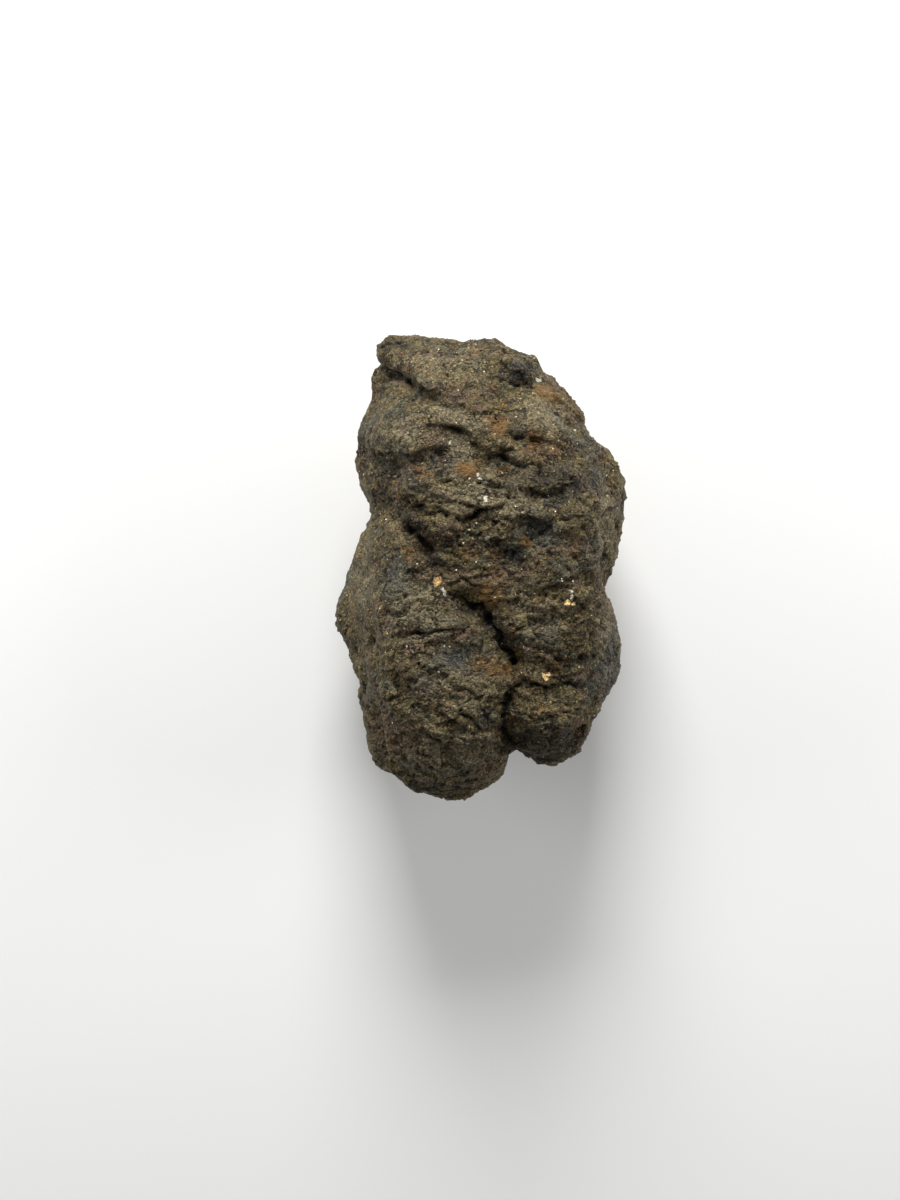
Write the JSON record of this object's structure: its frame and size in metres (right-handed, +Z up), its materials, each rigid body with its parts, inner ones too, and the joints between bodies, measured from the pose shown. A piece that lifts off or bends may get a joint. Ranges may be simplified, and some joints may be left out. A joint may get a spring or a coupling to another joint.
{
  "type": "chondrite meteorite",
  "caption": "Hand-sized weathered stony meteorite with lobes, a deep diagonal cleft and an overhanging slab at one end, lying on a small flat spot.",
  "frame": {"origin": "under the middle of the stone's outline, on the plane of its flat spot", "axes": "+Z up, out of the lobed face; +Y along the stone's length towards the overhanging slab; +X to the right of the lobed face"},
  "size_m": [0.048, 0.076, 0.0389],
  "materials": {
    "stone": "weathered, rough and grainy, with rust stains and fine metal flecks"
  },
  "bodies": {
    "root": {"stone": "stone"}
  },
  "joints": []
}
